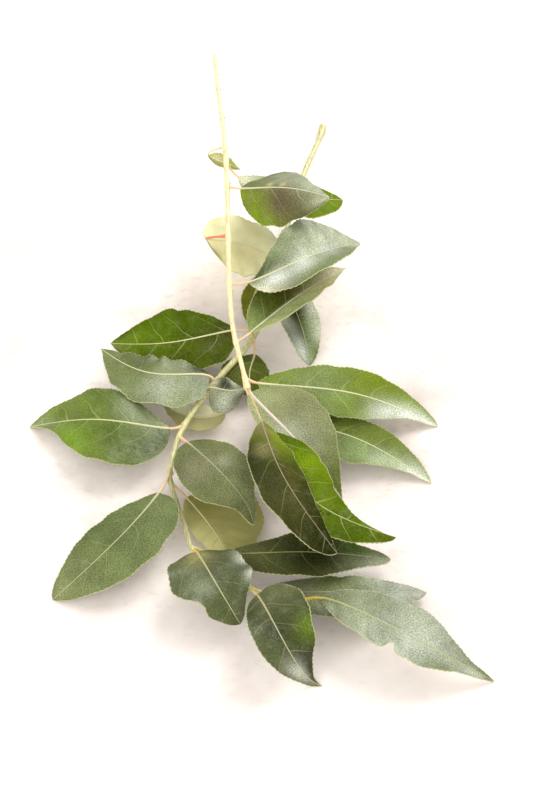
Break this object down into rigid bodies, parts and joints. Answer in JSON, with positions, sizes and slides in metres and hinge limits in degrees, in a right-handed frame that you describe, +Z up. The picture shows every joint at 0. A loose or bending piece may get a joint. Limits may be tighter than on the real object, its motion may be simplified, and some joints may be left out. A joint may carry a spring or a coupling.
{
  "type": "curry leaf sprig",
  "caption": "Cut curry leaf sprig lying down: leafy stalks crossed over each other, with pointed grey-green leaflets, some upside down.",
  "frame": {"origin": "on the surface it lies on, under the middle of its bounding box", "axes": "+Z up from the surface; +Y towards the cut ends of the rachises; +X to the right as seen from the leafy tips, looking towards the cut ends"},
  "size_m": [0.1183, 0.2044, 0.0342],
  "materials": {
    "cream_stalk": "fresh cream leaf stalk, soft satin",
    "grey_green_leaf": "leaf top with a dusty grey sheen",
    "dark_leaf": "shaded dark green leaf top, satin",
    "bright_leaf": "young green leaf that light shines through",
    "pale_underside": "pale matte leaf underside"
  },
  "bodies": {
    "root": {"front_rachis": "cream_stalk", "back_rachis": "cream_stalk", "front_leaflet_1": "grey_green_leaf", "front_leaflet_2": "bright_leaf", "front_leaflet_3": "grey_green_leaf", "front_leaflet_4": "pale_underside", "front_leaflet_5": "grey_green_leaf", "front_leaflet_6": "grey_green_leaf", "front_leaflet_7": "grey_green_leaf", "front_leaflet_8": "grey_green_leaf", "front_leaflet_9": "dark_leaf", "front_leaflet_10": "bright_leaf", "front_leaflet_11": "grey_green_leaf", "back_leaflet_1": "grey_green_leaf", "back_leaflet_2": "grey_green_leaf", "back_leaflet_3": "dark_leaf", "back_leaflet_4": "dark_leaf", "back_leaflet_5": "grey_green_leaf", "back_leaflet_6": "grey_green_leaf", "back_leaflet_7": "pale_underside", "back_leaflet_8": "grey_green_leaf", "back_leaflet_9": "grey_green_leaf", "back_leaflet_10": "grey_green_leaf", "back_leaflet_11": "pale_underside", "back_leaflet_12": "dark_leaf", "back_leaflet_13": "grey_green_leaf", "back_leaflet_14": "grey_green_leaf", "back_leaflet_15": "grey_green_leaf", "back_leaflet_16": "grey_green_leaf"}
  },
  "joints": []
}
